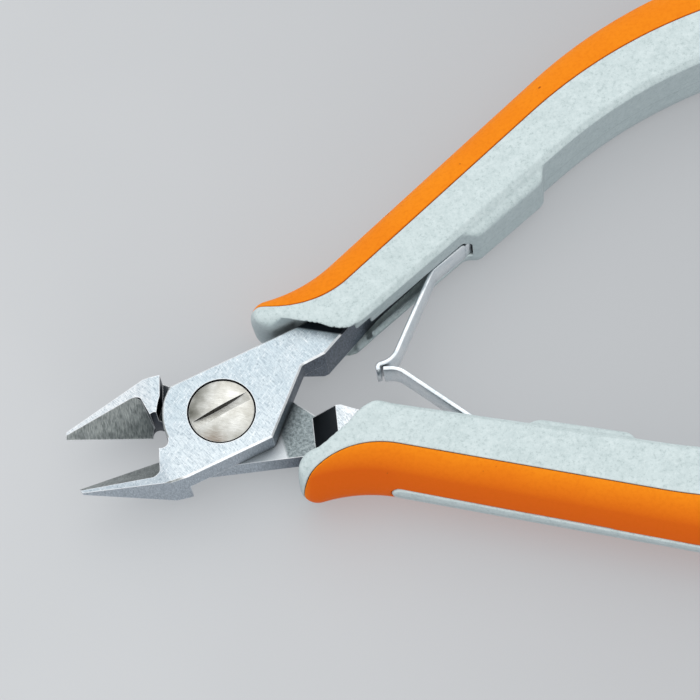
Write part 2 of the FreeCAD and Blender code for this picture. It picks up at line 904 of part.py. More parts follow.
def leaf_path(side):
    """The middle line of a leaf. Leaf a ends in a lip that hooks round the tip of leaf b."""
    foot = foot_line()
    bend_x = dim.foot_x - (dim.bend_a if side > 0 else dim.bend_b)
    path = [
        Corner(dim.foot_x, dim.foot_y),
        Corner(bend_x, foot.at(bend_x), dim.bend_round),
    ]
    if side > 0:
        return path + [
            open_point(dim.knee_a_reach, dim.hook_offset, dim.knee_round),
            open_point(dim.hook_reach, dim.hook_offset, dim.hook_round),
            open_point(dim.hook_reach, dim.lip_offset),
        ]
    return path + [
        open_point(dim.knee_b_reach, dim.knee_b_offset, dim.knee_round),
        open_point(dim.tip_reach, dim.tip_offset),
    ]


def leaf_spring(letter, side):
    """A bent strip: its foot in the grip's pocket, its free end hooked into the other leaf."""
    body = new_body(f"leaf_spring_{letter}")
    corners = mirrored(leaf_path(side), side)
    path = draw(new_sketch(body, "path"), corners, closed=False)
    start = corners[0].point()
    heading = unit(corners[1].point() - start)
    across = Vector(-heading.y, heading.x, 0)
    plane = Placement(start, Rotation(across, Vector(0, 0, 1), heading, "ZXY"))
    section = new_sketch(body, "section", offset=plane)
    half = dim.leaf_thick / 2
    draw(section, [
        Corner(-half, -dim.leaf_half),
        Corner(half, -dim.leaf_half),
        Corner(half, dim.leaf_half),
        Corner(-half, dim.leaf_half),
    ])
    doc.recompute()
    strip = body.newObject("PartDesign::AdditivePipe", "strip")
    strip.Profile = section
    strip.Spine = (path, [f"Edge{i}" for i in range(1, len(path.Shape.Edges) + 1)])
    doc.recompute()
    place(body, dim.open_angle * side)
    return body


def main():
    parts = [
        cutter_half("cutter_half_a", SIDES["a"]),
        cutter_half("cutter_half_b", SIDES["b"]),
        pivot_screw(),
    ]
    for letter, side in SIDES.items():
        parts.extend(handle(letter, side))
        parts.append(leaf_spring(letter, side))
    doc.recompute()
    for item in doc.Objects:
        if {"Invalid", "Error"} & set(item.State):
            raise RuntimeError(f"{item.Label} failed: {item.State}")
    os.makedirs("parts", exist_ok=True)
    for item in parts:
        shape = item.Shape
        if shape.isNull() or not shape.isValid():
            raise RuntimeError(f"{item.Label} has no valid shape")
        shape.exportStep(f"parts/{item.Label}.step")
        print(item.Label, len(shape.Solids), round(shape.Volume, 1))


main()
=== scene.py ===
"""Diagonal cutting pliers: the looks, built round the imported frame.

The handles are carved from distance fields on a fine grid, in each half's own closed frame: millimetres,
X along the closed tool from the pivot to the handle's end, Y out to the handle's side, Z up from the
lap plane. The leaf springs are swept strips. The forged halves and the screw are the CAD's own, with
weld and bevel modifiers. Everything gets a procedural material.
"""
import json
import math

import bpy
import numpy as np
from mathutils import Matrix, Vector


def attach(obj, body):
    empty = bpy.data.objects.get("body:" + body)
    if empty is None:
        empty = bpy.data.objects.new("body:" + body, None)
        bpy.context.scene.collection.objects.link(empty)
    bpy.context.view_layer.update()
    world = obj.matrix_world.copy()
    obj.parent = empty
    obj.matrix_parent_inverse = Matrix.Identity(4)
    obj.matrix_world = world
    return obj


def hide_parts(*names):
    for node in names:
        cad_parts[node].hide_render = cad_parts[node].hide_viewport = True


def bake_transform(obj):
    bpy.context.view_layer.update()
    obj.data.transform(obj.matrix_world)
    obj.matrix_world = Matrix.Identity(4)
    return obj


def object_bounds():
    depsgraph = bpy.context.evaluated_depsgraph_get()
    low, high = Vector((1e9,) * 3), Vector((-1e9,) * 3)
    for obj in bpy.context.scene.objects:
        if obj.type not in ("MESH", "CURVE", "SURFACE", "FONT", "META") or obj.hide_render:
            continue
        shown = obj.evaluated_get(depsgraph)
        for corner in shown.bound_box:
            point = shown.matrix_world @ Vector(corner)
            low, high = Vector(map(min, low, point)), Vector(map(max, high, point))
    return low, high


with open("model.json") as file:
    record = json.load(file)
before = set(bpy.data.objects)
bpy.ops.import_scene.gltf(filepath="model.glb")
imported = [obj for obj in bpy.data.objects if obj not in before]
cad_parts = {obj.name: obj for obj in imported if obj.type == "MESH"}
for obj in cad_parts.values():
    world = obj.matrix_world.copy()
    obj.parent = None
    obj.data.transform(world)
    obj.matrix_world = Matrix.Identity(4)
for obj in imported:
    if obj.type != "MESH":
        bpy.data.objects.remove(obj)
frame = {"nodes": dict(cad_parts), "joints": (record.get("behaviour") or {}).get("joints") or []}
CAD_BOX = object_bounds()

MM = 0.001
JOINTS = {joint["name"]: joint for joint in frame["joints"]}
LAP_Z = JOINTS["pivot"]["pos_m"][2] / MM
OPEN_ANGLE = 9.94  # each half stands this many degrees off the closed tool
SIDES = {"a": 1, "b": -1}

# Handle sections: half thickness, soft skin, seam, and the bulge of the outer side towards the lap plane
GRIP_HALF = 5.2
SKIN = 1.5
SKIN_ROUND = 0.2
SEAM_GAP = 0.03
SEAM_ROUND = 0.13
SOFT_RECESS = 0.05
BULGE = 2.5
BULGE_POWER = 1.6

# Lines of the plan: a point and a heading in degrees
FRONT = (7.95, 7.75, -36.8)
RIM = (19.1, 2.1, 16.5)
TAIL_INNER = (114.0, 6.95, -9.0)
TAIL_OUTER = (114.0, 13.7, -20.0)
OUTER = (29.9, 15.5, 18.5)
DIP = (9.7, 11.4, -10.0)
SEAM_FRONT = (8.1, 10.6, -40.8)
SEAM_SIDE = (21.8, 8.1, 18.2)
SEAM_TAIL = (100.0, 13.4, -14.5)
SEAM_END = (103.0, 13.4, 55.0)
TANG_THROAT = (21.8, 4.7, 24.3)
TANG_INNER = (21.8, 4.7, 18.3)
TANG_WIDTH = 3.4
BAND = 5.6
NOSE_X = 7.95
TAIL_END = (117.0, 6.95, 75.0)
PLAN_START = 2.0
PLAN_END = 124.0

# Corner roundings of the plan
DIP_ROUND = 17.3
BOW_ROUND = 60.0
THROAT_ROUND = 4.5
SEAM_TURN = 10.8
SEAM_END_ROUND = 4.0
TANG_TURN = 1.0
NOSE_ROUND = 2.4
FRONT_ROUND = 1.2
TAIL_ROUND = 3.0

# Edge rounding of the flat faces: everywhere, what the outer side, the nose and the tail add to it,
# and the stretches over which those grow
EDGE_ROUND = 0.12
OUTER_EDGE_ROUND = 1.5
NOSE_EDGE_ROUND = 1.7
TAIL_EDGE_ROUND = 1.5
NOSE_BLEND = (14.0, 19.0)
TAIL_BLEND = (8.0, 2.0)
SIDE_BLEND = 8.0

# The window in the soft skin: its ends, and its half width at each end
WINDOW = (18.3, 92.0)
WINDOW_HALF = (1.3, 0.6)
WINDOW_ROUND = 0.3

# Inner side: chamfer, draft of the lower wall, relief behind the front lip
RIM_CHAMFER = 0.62
CHAMFER_BLEND = (17.0, 20.0)
CHAMFER_ROUND = 0.06
DRAFT_START = 2.2
DRAFT = 0.32
LIP_HEIGHT = 4.8
LIP_DEPTH = 1.7
LIP_SIDE = 0.9
LIP_END_X = 18.2
LIP_ROUND = 0.3

# Tang channel
TANG_FIT = 0.08
CHANNEL_HALF = 3.4
CHANNEL_END = 58.2
CHANNEL_ROUND = 0.15

# Slot, pocket and bump on the inner side; a lead is how far a cut starts before its place
SLOT_START = 20.3
SLOT_HALF = 2.0
SLOT_DEPTH = 2.3
SLOT_LEAD = 0.5
SLOT_ROUND = 0.55
SLOT_FLOOR_ROUND = 0.2
WELL_START = 0.75
WELL_FLOOR = -4.4
WELL_ROUND = 0.15
BUMP_START = 34.5
BUMP_END = 46.6
BUMP_PROUD = 1.15
BUMP_HALF = 4.3
BUMP_FRONT_RUN = 1.5
BUMP_REAR_RUN = 0.75
BUMP_ROOT = 2.0
BUMP_TOP_ROUND = 1.4
BUMP_ROUND = 0.3
BUMP_FRONT_ROUND = 0.35
BUMP_FOOT_ROUND = 0.4
FOOT = (35.6, 7.08, 15.4)
MOUTH_GAP = 0.35
FOOT_GAP = 0.65
POCKET_END = 36.0
POCKET_HALF = 1.5
POCKET_LEAD = 1.0
POCKET_ROUND = 0.15
CUT_EDGE_ROUND = 0.22

# Leaf springs: the middle line's bends, and the free ends in the open tool's frame
LEAF_THICK = 0.55
LEAF_HALF = 1.75
LEAF_EDGE_ROUND = 0.12
LEAF_TAB_HALF = 1.3
LEAF_TAB_END = 34.4
LEAF_STEP = 0.09
BEND_A = 29.6
BEND_B = 30.2
BEND_ROUND = 1.5
KNEE_A = (20.65, 0.8)
KNEE_B = (20.95, 0.3)
KNEE_ROUND = 2.6
HOOK = (18.73, 0.8)
HOOK_ROUND = 0.42
LIP_END = (18.73, 0.1)
TIP_B = (19.3, -0.12)


# Plan curves


def unit(vector):
    return vector / np.linalg.norm(vector)


def turned_about_pivot(x, y, degrees):
    angle = math.radians(degrees)
    return x * math.cos(angle) - y * math.sin(angle), x * math.sin(angle) + y * math.cos(angle)


def crossing(first, second):
    """Where two lines of the plan cross."""
    angle_1 = math.radians(first[2])
    angle_2 = math.radians(second[2])
    reach_x = second[0] - first[0]
    reach_y = second[1] - first[1]
    across = reach_x * math.sin(angle_2) - reach_y * math.cos(angle_2)
    along = across / math.sin(angle_2 - angle_1)
    return first[0] + along * math.cos(angle_1), first[1] + along * math.sin(angle_1)


def height_on(line, x):
    return line[1] + (x - line[0]) * math.tan(math.radians(line[2]))


def shifted(line, left):
    """The parallel line at a distance to the left of its heading."""
    angle = math.radians(line[2])
    return line[0] - left * math.sin(angle), line[1] + left * math.cos(angle), line[2]


def rounded_path(corners, radii, arc_points=24):
    """Points along a path with straight runs, whose inner corners are rounded with arcs."""
    corners = [np.array(corner, float) for corner in corners]
    points = [corners[0]]
    for before, here, after, radius in zip(corners, corners[1:], corners[2:], radii):
        back = unit(before - here)
        ahead = unit(after - here)
        half = math.acos(float(back @ ahead)) / 2
        centre = here + unit(back + ahead) * radius / math.sin(half)
        start = here + back * radius / math.tan(half) - centre
        turn = math.pi - 2 * half
        if back[0] * ahead[1] - back[1] * ahead[0] > 0:
            turn = -turn
        for angle in np.linspace(0, turn, arc_points):
            cos, sin = math.cos(angle), math.sin(angle)
            points.append(centre + np.array((start[0] * cos - start[1] * sin,
                                             start[0] * sin + start[1] * cos)))
    points.append(corners[-1])
    return np.array(points)


class Curve:
    """A curve across the plan, with one height at each x, from lines with rounded corners."""

    STEP = 0.05

    def __init__(self, lines, radii):
        corners = [(PLAN_START, height_on(lines[0], PLAN_START))]
        corners += [crossing(first, second) for first, second in zip(lines, lines[1:])]
        corners.append((PLAN_END, height_on(lines[-1], PLAN_END)))
        path = rounded_path(corners, radii)
        self.xs = np.arange(PLAN_START, PLAN_END, self.STEP)
        self.ys = np.interp(self.xs, path[:, 0], path[:, 1])
        self.slopes = np.gradient(self.ys, self.STEP)

    def height(self, x):
        return np.interp(x, self.xs, self.ys)

    def above(self, x, y):
        """Signed distance above the curve."""
        return (y - self.height(x)) / np.sqrt(1 + np.interp(x, self.xs, self.slopes) ** 2)


OUTER_CURVE = Curve([DIP, OUTER, TAIL_OUTER], [DIP_ROUND, BOW_ROUND])
INNER_CURVE = Curve([FRONT, RIM, TAIL_INNER], [THROAT_ROUND, BOW_ROUND])
SEAM_CURVE = Curve([SEAM_FRONT, SEAM_SIDE, SEAM_TAIL], [SEAM_TURN, BOW_ROUND])
TANG_BACK_CURVE = Curve([(0.0, BAND, 0.0), shifted(TANG_INNER, TANG_WIDTH)], [TANG_TURN])


# Distance fields: negative inside, in millimetres


def smooth_max(first, second, radius):
    """The overlap of two fields, with its edge rounded."""
    corner = np.hypot(np.maximum(first + radius, 0), np.maximum(second + radius, 0))
    return np.minimum(-radius, np.maximum(first, second)) + corner


def smooth_min(first, second, radius):
    """The union of two fields, with its groove rounded."""
    return -smooth_max(-first, -second, radius)


def beyond(line, x, y):
    """Signed distance to the right of a line's heading."""
    angle = math.radians(line[2])
    return (x - line[0]) * math.sin(angle) - (y - line[1]) * math.cos(angle)


def ease(value):
    """A soft step from 0 to 1."""
    value = np.clip(value, 0, 1)
    return value * value * (3 - 2 * value)


def eased_between(x, start, end):
    return ease((x - start) / (end - start))


def drafted(inner, z):
    """The inner side's field, with the wall below the slot drawn in towards the underside."""
    below = np.maximum(-z - DRAFT_START, 0)
    return (inner + DRAFT * below) / np.where(below > 0, math.hypot(1, DRAFT), 1)


def shell_field(x, y, z):
    """The whole moulding without its bump: bulged outer side, flat faces, rounded nose."""
    level = np.abs(z) / GRIP_HALF
    steep = BULGE * BULGE_POWER / GRIP_HALF * level ** (BULGE_POWER - 1)
    outer = (OUTER_CURVE.above(x, y) + BULGE * level ** BULGE_POWER) / np.sqrt(1 + steep ** 2)
    inner = drafted(-INNER_CURVE.above(x, y), z)
    tail = beyond(TAIL_END, x, y)
    face = np.abs(z) - GRIP_HALF
    outline = smooth_max(outer, NOSE_X - x, NOSE_ROUND)
    outline = smooth_max(outline, inner, FRONT_ROUND)
    outline = smooth_max(outline, tail, TAIL_ROUND)
    near_outer = ease(0.5 + (outer - inner) / SIDE_BLEND)
    near_nose = 1 - eased_between(x, *NOSE_BLEND)
    near_tail = eased_between(-tail, *TAIL_BLEND)
    edge_round = EDGE_ROUND + OUTER_EDGE_ROUND * near_outer
    edge_round = edge_round + NOSE_EDGE_ROUND * near_nose * (1 - near_outer)
    edge_round = edge_round + TAIL_EDGE_ROUND * near_tail
    field = smooth_max(outline, face, edge_round)
    chamfer = RIM_CHAMFER * eased_between(x, *CHAMFER_BLEND)
    return smooth_max(field, (inner + face + chamfer) / math.sqrt(2), CHAMFER_ROUND)


def bump_field(x, y, z):
    """The raised pocket housing on the rim: soft shoulder above, crisp edge below."""
    proud = drafted(-INNER_CURVE.above(x, y), z)
    rise = BUMP_PROUD / BUMP_FRONT_RUN
    fall = BUMP_PROUD / BUMP_REAR_RUN
    front = (proud - (x - BUMP_START) * rise) / math.hypot(1, rise)
    rear = (proud - (BUMP_END - x) * fall) / math.hypot(1, fall)
    shoulder = np.where(z > 0, BUMP_TOP_ROUND, BUMP_ROUND)
    crest = smooth_max(proud - BUMP_PROUD, np.abs(z) - BUMP_HALF, shoulder)
    field = smooth_max(smooth_max(crest, front, BUMP_FRONT_ROUND), rear, BUMP_ROUND)
    return smooth_max(field, -proud - BUMP_ROOT, BUMP_ROUND)


def channel_field(x, y, z):
    """The tang's channel, open to the front and to the inner side near the joint."""
    back = TANG_BACK_CURVE.above(x, y) - TANG_FIT
    front = np.maximum(beyond(TANG_THROAT, x, y), beyond(TANG_INNER, x, y)) - TANG_FIT
    ends = np.maximum(np.abs(z) - CHANNEL_HALF, x - CHANNEL_END)
    channel = smooth_max(ends, back, CHANNEL_ROUND)
    return np.maximum(channel, np.minimum(front, x - SLOT_START))


def relief_field(x, y, z):
    """The space behind the front lip, above and below the tang."""
    back = TANG_BACK_CURVE.above(x, y) - TANG_FIT - LIP_SIDE
    relief = smooth_max(np.abs(z) - LIP_HEIGHT, INNER_CURVE.above(x, y) - LIP_DEPTH, LIP_ROUND)
    return np.maximum(relief, np.maximum(back, x - LIP_END_X))


def slot_field(x, y, z):
    """The slot that a leaf folds into, with a well behind its lower lip."""
    depth = INNER_CURVE.above(x, y)
    ends = np.maximum(SLOT_START - SLOT_LEAD - x, x - BUMP_START)
    mouth = smooth_max(np.abs(z) - SLOT_HALF, ends, SLOT_ROUND)
    slot = smooth_max(mouth, depth - SLOT_DEPTH, SLOT_FLOOR_ROUND)
    sides = np.maximum(WELL_START - depth, depth - SLOT_DEPTH)
    well = smooth_max(np.maximum(WELL_FLOOR - z, z), np.maximum(sides, ends), WELL_ROUND)
    return np.minimum(slot, well)


def pocket_field(x, y, z):
    """The pocket for a leaf's foot, wider at its bottom than at its mouth."""
    inward = np.clip((x - BUMP_START) / (POCKET_END - BUMP_START), 0, 1)
    half_gap = MOUTH_GAP + (FOOT_GAP - MOUTH_GAP) * inward
    run = np.maximum(x - POCKET_END, BUMP_START - POCKET_LEAD - x)
    ends = np.maximum(np.abs(z) - POCKET_HALF, run)
    return smooth_max(ends, np.abs(beyond(FOOT, x, y)) - half_gap, POCKET_ROUND)


def cuts_field(x, y, z):
    """Everything cut out of the moulding."""
    cuts = [cut(x, y, z) for cut in (channel_field, relief_field, slot_field, pocket_field)]
    return np.minimum.reduce(cuts)


def soft_region_field(x, y, z):
    """The share of the moulding that is soft: beyond the seam, but not inside the window."""
    seam = -SEAM_CURVE.above(x, y)
    seam = smooth_max(seam, beyond(SEAM_END, x, y), SEAM_END_ROUND)
    half = np.interp(x, WINDOW, WINDOW_HALF)
    along = x - np.clip(x, WINDOW[0] + half, WINDOW[1] - half)
    window = np.hypot(along, z) - half
    return smooth_max(seam, -window, WINDOW_ROUND)


def grip_field(x, y, z):
    """The hard moulding: the shell less its soft skin, with the bump, less all the cuts."""
    shell = shell_field(x, y, z)
    soft = soft_region_field(x, y, z)
    kept = smooth_min(SEAM_GAP - soft, shell + SKIN + SEAM_GAP, SKIN_ROUND)
    hard = smooth_max(shell, kept, SEAM_ROUND)
    hard = smooth_min(hard, bump_field(x, y, z), BUMP_FOOT_ROUND)
    return smooth_max(hard, -cuts_field(x, y, z), CUT_EDGE_ROUND)


def inlay_field(x, y, z):
    """The soft skin over the outer side."""
    shell = shell_field(x, y, z)
    soft = soft_region_field(x, y, z) + SEAM_GAP
    skin = smooth_max(shell + SOFT_RECESS, soft, SEAM_ROUND)
    return smooth_max(skin, -(shell + SKIN), SKIN_ROUND)


# Meshes from fields


def spaced(*stretches):
    """Grid positions from stretches of (start, end, step)."""
    parts = []
    for start, end, step in stretches:
        count = max(1, round((end - start) / step))
        parts.append(np.linspace(start, end, count, endpoint=False))
    return np.concatenate(parts + [np.array([stretches[-1][1]])])


def gradient(field, points, reach=0.01):
    """The field's values and slopes at points."""
    parts = []
    for axis in range(3):
        step = np.zeros(3)
        step[axis] = reach
        ahead = field(*(points + step).T)
        behind = field(*(points - step).T)
        parts.append((ahead - behind) / (2 * reach))
    return field(*points.T), np.stack(parts, axis=1)


def carve(field, xs, offsets, zs, base_line):
    """A closed quad mesh of a field's zero surface, on a grid whose rows follow a base line.

    One point sits in each grid cell that the surface crosses, and one quad on each crossed grid edge.
    """
    x, offset, z = np.meshgrid(xs, offsets, zs, indexing="ij")
    y = offset + base_line(x)
    value = field(x, y, z)
    nodes = np.stack((x, y, z), axis=-1)
    inside = value < 0
    cells = tuple(n - 1 for n in value.shape)
    total = np.zeros(cells + (3,))
    count = np.zeros(cells)
    crossings = []
    for axis in range(3):
        low = [slice(None)] * 3
        high = [slice(None)] * 3
        low[axis] = slice(0, -1)
        high[axis] = slice(1, None)
        low, high = tuple(low), tuple(high)
        crossed = np.argwhere(inside[low] != inside[high])
        crossings.append(crossed)
        first = tuple(crossed.T)
        step = np.zeros(3, int)
        step[axis] = 1
        second = tuple((crossed + step).T)
        share = value[first] / (value[first] - value[second])
        place = nodes[first] + (nodes[second] - nodes[first]) * share[:, None]
        others = [other for other in range(3) if other != axis]
        for back_1 in (0, 1):
            for back_2 in (0, 1):
                cell = crossed.copy()
                cell[:, others[0]] -= back_1
                cell[:, others[1]] -= back_2
                cell = tuple(cell.T)
                np.add.at(total, cell, place)
                np.add.at(count, cell, 1)
    used = count > 0
    index = np.full(cells, -1)
    index[used] = np.arange(used.sum())
    points = total[used] / count[used][:, None]
    quads = []
    for axis, crossed in enumerate(crossings):
        side_1, side_2 = (axis + 1) % 3, (axis + 2) % 3
        ring = []
        for back_1, back_2 in ((0, 0), (1, 0), (1, 1), (0, 1)):
            cell = crossed.copy()
            cell[:, side_1] -= back_1
            cell[:, side_2] -= back_2
            ring.append(index[tuple(cell.T)])
        ring = np.stack(ring, axis=1)
        outward = inside[tuple(crossed.T)]
        ring[~outward] = ring[~outward][:, ::-1]
        quads.append(ring)
    return settled(field, points), np.concatenate(quads)


def settled(field, points, rounds=3, flattest=0.2):
    """Points moved onto the field's zero surface by a few Newton steps."""
    for _ in range(rounds):
        level, slope = gradient(field, points)
        steepness = np.maximum((slope ** 2).sum(axis=1), flattest)
        points = points - slope * (level / steepness)[:, None]
    return points


def to_world(points, side):
    """From a half's closed frame in millimetres to the part's frame in metres, tool open."""
    x, y, z = points.T
    x, y = turned_about_pivot(x, y * side, OPEN_ANGLE * side)
    return np.stack((x, y, z + LAP_Z), axis=1) * MM


def make_object(name, points, faces, material):
    mesh = bpy.data.meshes.new(name)
    mesh.from_pydata(points.tolist(), [], faces.tolist() if hasattr(faces, "tolist") else faces)
    mesh.shade_smooth()
    mesh.materials.append(material)
    piece = bpy.data.objects.new(name, mesh)
    bpy.context.scene.collection.objects.link(piece)
    return piece


# Materials


class Nodes:
    """A short way to write a material's node tree."""

    def __init__(self, name):
        self.material = bpy.data.materials.new(name)
        self.material.use_nodes = True
        self.tree = self.material.node_tree
        self.shader = self.tree.nodes["Principled BSDF"]
        self.place = self.add("ShaderNodeTexCoord").outputs["Object"]

    def add(self, kind, **settings):
        node = self.tree.nodes.new(kind)
        for key, value in settings.items():
            setattr(node, key, value)
        return node

    def put(self, target, value):
        """Link an output to a socket, or set the socket's own value."""
        if isinstance(value, bpy.types.NodeSocket):
            self.tree.links.new(value, target)
        else:
            target.default_value = value

    def scaled(self, scale, turn=0.0):
        """The object's coordinates turned about Z, then multiplied along each axis."""
        turned = self.add("ShaderNodeVectorRotate", rotation_type="Z_AXIS")
        self.put(turned.inputs["Vector"], self.place)
        turned.inputs["Angle"].default_value = math.radians(turn)
        stretched = self.add("ShaderNodeVectorMath", operation="MULTIPLY")
        self.put(stretched.inputs[0], turned.outputs[0])
        stretched.inputs[1].default_value = [value / MM for value in scale]
        return stretched.outputs[0]

    def noise(self, scale, detail=3.0, rough=0.5, turn=0.0):
        """Noise with a number of waves per millimetre along each axis."""
        if not hasattr(scale, "__len__"):
            scale = (scale, scale, scale)
        node = self.add("ShaderNodeTexNoise")
        self.put(node.inputs["Vector"], self.scaled(scale, turn))
        node.inputs["Scale"].default_value = 1.0
        node.inputs["Detail"].default_value = detail
        node.inputs["Roughness"].default_value = rough
        return node.outputs["Fac"]

    def remap(self, value, low, high, new_low=0.0, new_high=1.0):
        """A value's range from low to high stretched onto a new range, and held at its ends."""
        node = self.add("ShaderNodeMapRange", clamp=True)
        for socket, number in zip(node.inputs, (value, low, high, new_low, new_high)):
            self.put(socket, number)
        return node.outputs[0]

    def mix(self, share, first, second):
        """From the first colour to the second as the share goes from 0 to 1."""
        node = self.add("ShaderNodeMix", data_type="RGBA")
        self.put(node.inputs["Factor"], share)
        colour_a, colour_b = node.inputs[6], node.inputs[7]
        self.put(colour_a, first)
        self.put(colour_b, second)
        return node.outputs[2]

    def math(self, operation, *values):
        node = self.add("ShaderNodeMath", operation=operation)
        for socket, value in zip(node.inputs, values):
            self.put(socket, value)
        return node.outputs[0]

    def edges(self, radius):
        """How sharp the surface turns within a radius: 0 on flats, 1 on edges."""
        bevel = self.add("ShaderNodeBevel", samples=6)
        bevel.inputs["Radius"].default_value = radius * MM
        plain = self.add("ShaderNodeNewGeometry")
        dot = self.add("ShaderNodeVectorMath", operation="DOT_PRODUCT")
        self.put(dot.inputs[0], bevel.outputs[0])
        self.put(dot.inputs[1], plain.outputs["Normal"])
        return self.remap(dot.outputs["Value"], 0.995, 0.9)

    def crevices(self, reach, dark=0.25, clear=0.75):
        """How closed in the surface is within a reach: 0 in the open, 1 deep in a gap."""
        node = self.add("ShaderNodeAmbientOcclusion", samples=6)
        node.inputs["Distance"].default_value = reach * MM
        return self.remap(node.outputs["AO"], clear, dark)

    def parts(self, vector):
        split = self.add("ShaderNodeSeparateXYZ")
        self.put(split.inputs[0], vector)
        return split.outputs

    def normal(self):
        """The surface normal's parts in the object's own frame, the same at every pose."""
        turned = self.add("ShaderNodeVectorTransform", vector_type="NORMAL",
                          convert_from="WORLD", convert_to="OBJECT")
        self.put(turned.inputs[0], self.add("ShaderNodeNewGeometry").outputs["Normal"])
        return self.parts(turned.outputs[0])

    def where(self):
        """The place's parts in the object's own frame, in millimetres."""
        return self.parts(self.scaled((1.0, 1.0, 1.0)))

    def off_lap(self):
        """Distance from the lap plane, in millimetres."""
        return self.math("ABSOLUTE", self.math("SUBTRACT", self.where()["Z"], LAP_Z))

    def behind_nose(self):
        """Distance behind the front edge of a grip in the open tool, in millimetres, along the lap."""
        place = self.where()
        slope = math.radians(FRONT[2] + OPEN_ANGLE)
        front_x, front_y = turned_about_pivot(FRONT[0], FRONT[1], OPEN_ANGLE)
        along_x = self.math("MULTIPLY", place["X"], -math.sin(slope))
        along_y = self.math("MULTIPLY", self.math("ABSOLUTE", place["Y"]), math.cos(slope))
        start = front_y * math.cos(slope) - front_x * math.sin(slope)
        return self.math("SUBTRACT", self.math("ADD", along_x, along_y), start)

    def together(self, *shares):
        """The product of shares: 1 only where all of them are 1."""
        total = shares[0]
        for share in shares[1:]:
            total = self.math("MULTIPLY", total, share)
        return total

    def bump(self, height, depth):
        """Fine relief of a depth in millimetres."""
        node = self.add("ShaderNodeBump")
        node.inputs["Distance"].default_value = depth * MM
        node.inputs["Strength"].default_value = 1.0
        self.put(node.inputs["Height"], height)
        self.put(self.shader.inputs["Normal"], node.outputs[0])

    def finish(self, **values):
        """Set the shader's inputs, named with _ for each space, and hand over the material."""
        for key, value in values.items():
            self.put(self.shader.inputs[key.replace("_", " ")], value)
        return self.material


def colour(red, green, blue):
    return red, green, blue, 1.0


def brushed_faces_and_highlights(n, place, patches, grain, speck):
    """Top faces: cloudy, finely brushed and scratched; painted highlights lighten them towards negative Y
    and whiten the upper jaw and the lower tang, and painted shade dims the lower jaw's tip.
    """
    cross = n.noise((9.0, 1.6, 2.5), 3.0, 0.65, turn=48)
    scratch = n.noise((9.0, 0.5, 2.0), 2.0, 0.5, turn=-28)
    highlight_white = colour(0.97, 0.98, 0.99)
    jaws = n.remap(place["X"], -6, -9)
    tangs = n.remap(place["X"], 12, 14)
    upper_jaw_highlight = n.together(jaws, n.remap(place["Y"], 0, 2, 0.0, 0.7))
    lower_jaw_shade = n.together(jaws, n.remap(place["Y"], -2, -4))
    lower_tang_highlight = n.together(tangs, n.remap(place["Y"], -1, -3, 0.0, 0.9))
    body = n.mix(n.remap(patches, 0.35, 0.65), colour(0.58, 0.67, 0.72), colour(0.70, 0.78, 0.82))
    # painted highlights: lighter towards negative Y, white on the upper jaw and the lower tang; painted
    # shade on the lower jaw's tip
    body = n.mix(n.remap(place["Y"], 1, -5, 0.0, 0.5), body, colour(0.90, 0.95, 0.97))
    body = n.mix(upper_jaw_highlight, body, highlight_white)
    body = n.mix(lower_tang_highlight, body, highlight_white)
    body = n.mix(lower_jaw_shade, body, colour(0.58, 0.65, 0.70))
    body = n.mix(n.remap(grain, 0.44, 0.66, 0.0, 0.75), body, colour(0.36, 0.44, 0.50))
    body = n.mix(n.remap(cross, 0.46, 0.30, 0.0, 0.8), body, colour(0.92, 0.96, 0.98))
    body = n.mix(n.remap(speck, 0.55, 0.68, 0.0, 0.8), body, colour(0.22, 0.29, 0.34))
    n.bump(n.math("ADD", n.math("MULTIPLY", grain, 0.6), n.math("MULTIPLY", cross, 0.4)), 0.02)
    return n.mix(n.remap(scratch, 0.68, 0.73, 0.0, 0.7), body, colour(0.94, 0.97, 0.98))


def with_lap(n, body, place, normal, throat_shade, speck):
    """The lap: mottled where the halves rub, bright beside it; painted shade darkens it in front and where
    it is closed in.
    """
    lap = n.together(n.remap(n.off_lap(), 0.3, 0.1), n.remap(normal["Z"], 0.8, 0.9))
    rubbed = n.mix(n.remap(speck, 0.35, 0.65), colour(0.44, 0.50, 0.51), colour(0.11, 0.14, 0.15))
    rubbed = n.mix(n.remap(place["X"], 6.0, 5.7, 0.0, 0.85), rubbed, colour(0.78, 0.82, 0.84))
    body = n.mix(lap, body, rubbed)
    # painted shade: the lap near black in the throat and where it is closed in
    body = n.mix(n.together(lap, throat_shade), body, colour(0.05, 0.055, 0.065))
    return n.mix(n.together(lap, n.crevices(3.0, 0.35, 0.8)), body, colour(0.03, 0.035, 0.04))


def with_bevels(n, body, place, slanted, patches):
    """Painted highlights on the slanted edges, and the jaws' grey ground bevels with strokes across them and
    darker clouds.
    """
    strokes = n.noise((7.0, 0.9, 1.5), 3.0, 0.6, turn=12)
    bevel = n.together(slanted, n.remap(place["X"], -6, -6.8))
    ground = n.mix(n.remap(strokes, 0.3, 0.7), colour(0.17, 0.19, 0.19), colour(0.50, 0.53, 0.52))
    ground = n.mix(n.remap(patches, 0.5, 0.68, 0.0, 0.7), ground, colour(0.16, 0.18, 0.18))
    # painted highlight: slanted faces near white
    body = n.mix(slanted, body, colour(0.95, 0.97, 0.98))
    return n.mix(bevel, body, ground)


def with_walls(n, body, place, walls, throat_shade, grain):
    """Side walls with painted shade: light beside the jaws, dark beside the tangs, nearly black in the gap
    at the upper jaw.
    """
    # painted shade: the walls darken towards the tangs
    rear = n.remap(place["X"], 2, 7)
    low = n.mix(rear, colour(0.30, 0.35, 0.40), colour(0.06, 0.075, 0.095))
    high = n.mix(rear, colour(0.66, 0.72, 0.78), colour(0.26, 0.30, 0.36))
    inside = n.together(n.remap(place["X"], -9.6, -9.0), n.remap(place["Y"], -2.2, -1.6))
    body = n.mix(walls, body, n.mix(n.remap(grain, 0.3, 0.7), low, high))
    # painted shade, near black, in the gap at the upper jaw
    return n.mix(n.together(walls, throat_shade, inside), body, colour(0.05, 0.06, 0.08))


